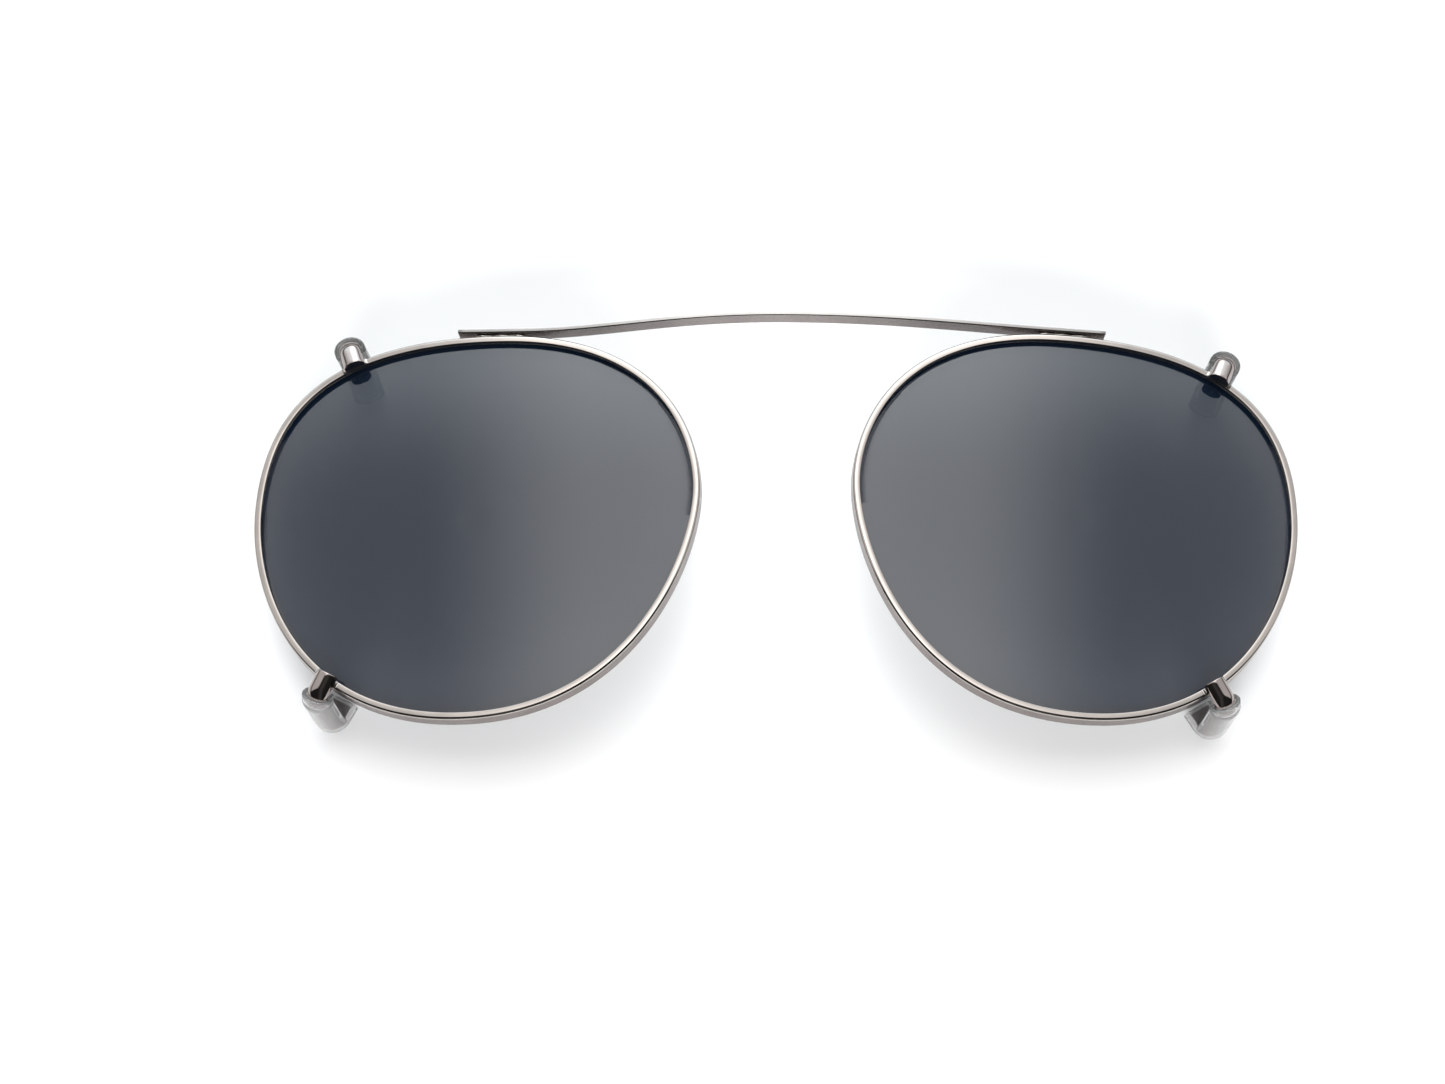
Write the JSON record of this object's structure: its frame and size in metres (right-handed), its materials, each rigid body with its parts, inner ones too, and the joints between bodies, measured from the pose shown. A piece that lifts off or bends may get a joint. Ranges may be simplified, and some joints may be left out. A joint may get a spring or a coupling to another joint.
{
  "type": "clip-on sun lenses",
  "caption": "Tinted clip-on lenses in thin wire rims joined by a spring bridge bar, with sleeved hooked claws that grip a spectacle frame.",
  "frame": {"origin": "middle of the underside, on the surface the part lies on with its lens fronts up", "axes": "+X along the pair of lenses, to the right as seen from the front; +Y up the lenses towards the bridge bar; +Z out of the lens fronts"},
  "size_m": [0.1158, 0.0476, 0.0139],
  "materials": {
    "rim_wire": "polished gunmetal",
    "spring_bar": "polished gunmetal spring strip",
    "claw_wire": "polished gunmetal",
    "braze_metal": "bright braze",
    "tinted_lens": "polished dark grey tint",
    "clear_sleeve": "clear soft tube"
  },
  "bodies": {
    "left_unit": {"bridge_bar": "spring_bar", "rim_left": "rim_wire", "lens_left": "tinted_lens", "braze_foot_left": "braze_metal", "claw_upper_left": "claw_wire", "sleeve_upper_left": "clear_sleeve", "braze_upper_left": "braze_metal", "claw_lower_left": "claw_wire", "sleeve_lower_left": "clear_sleeve", "braze_lower_left": "braze_metal"},
    "right_unit": {"rim_right": "rim_wire", "lens_right": "tinted_lens", "braze_foot_right": "braze_metal", "claw_upper_right": "claw_wire", "sleeve_upper_right": "clear_sleeve", "braze_upper_right": "braze_metal", "claw_lower_right": "claw_wire", "sleeve_lower_right": "clear_sleeve", "braze_lower_right": "braze_metal"}
  },
  "joints": [
    {"name": "bridge_flex", "type": "hinge", "parent": "left_unit", "child": "right_unit", "pos_m": [-0.00006, 0.02355, 0.01286], "axis": [0, 0, 1], "range_deg": [-4, 8], "stiffness_Nm_per_rad": 0.044, "deforming": ["bridge_bar"]}
  ]
}
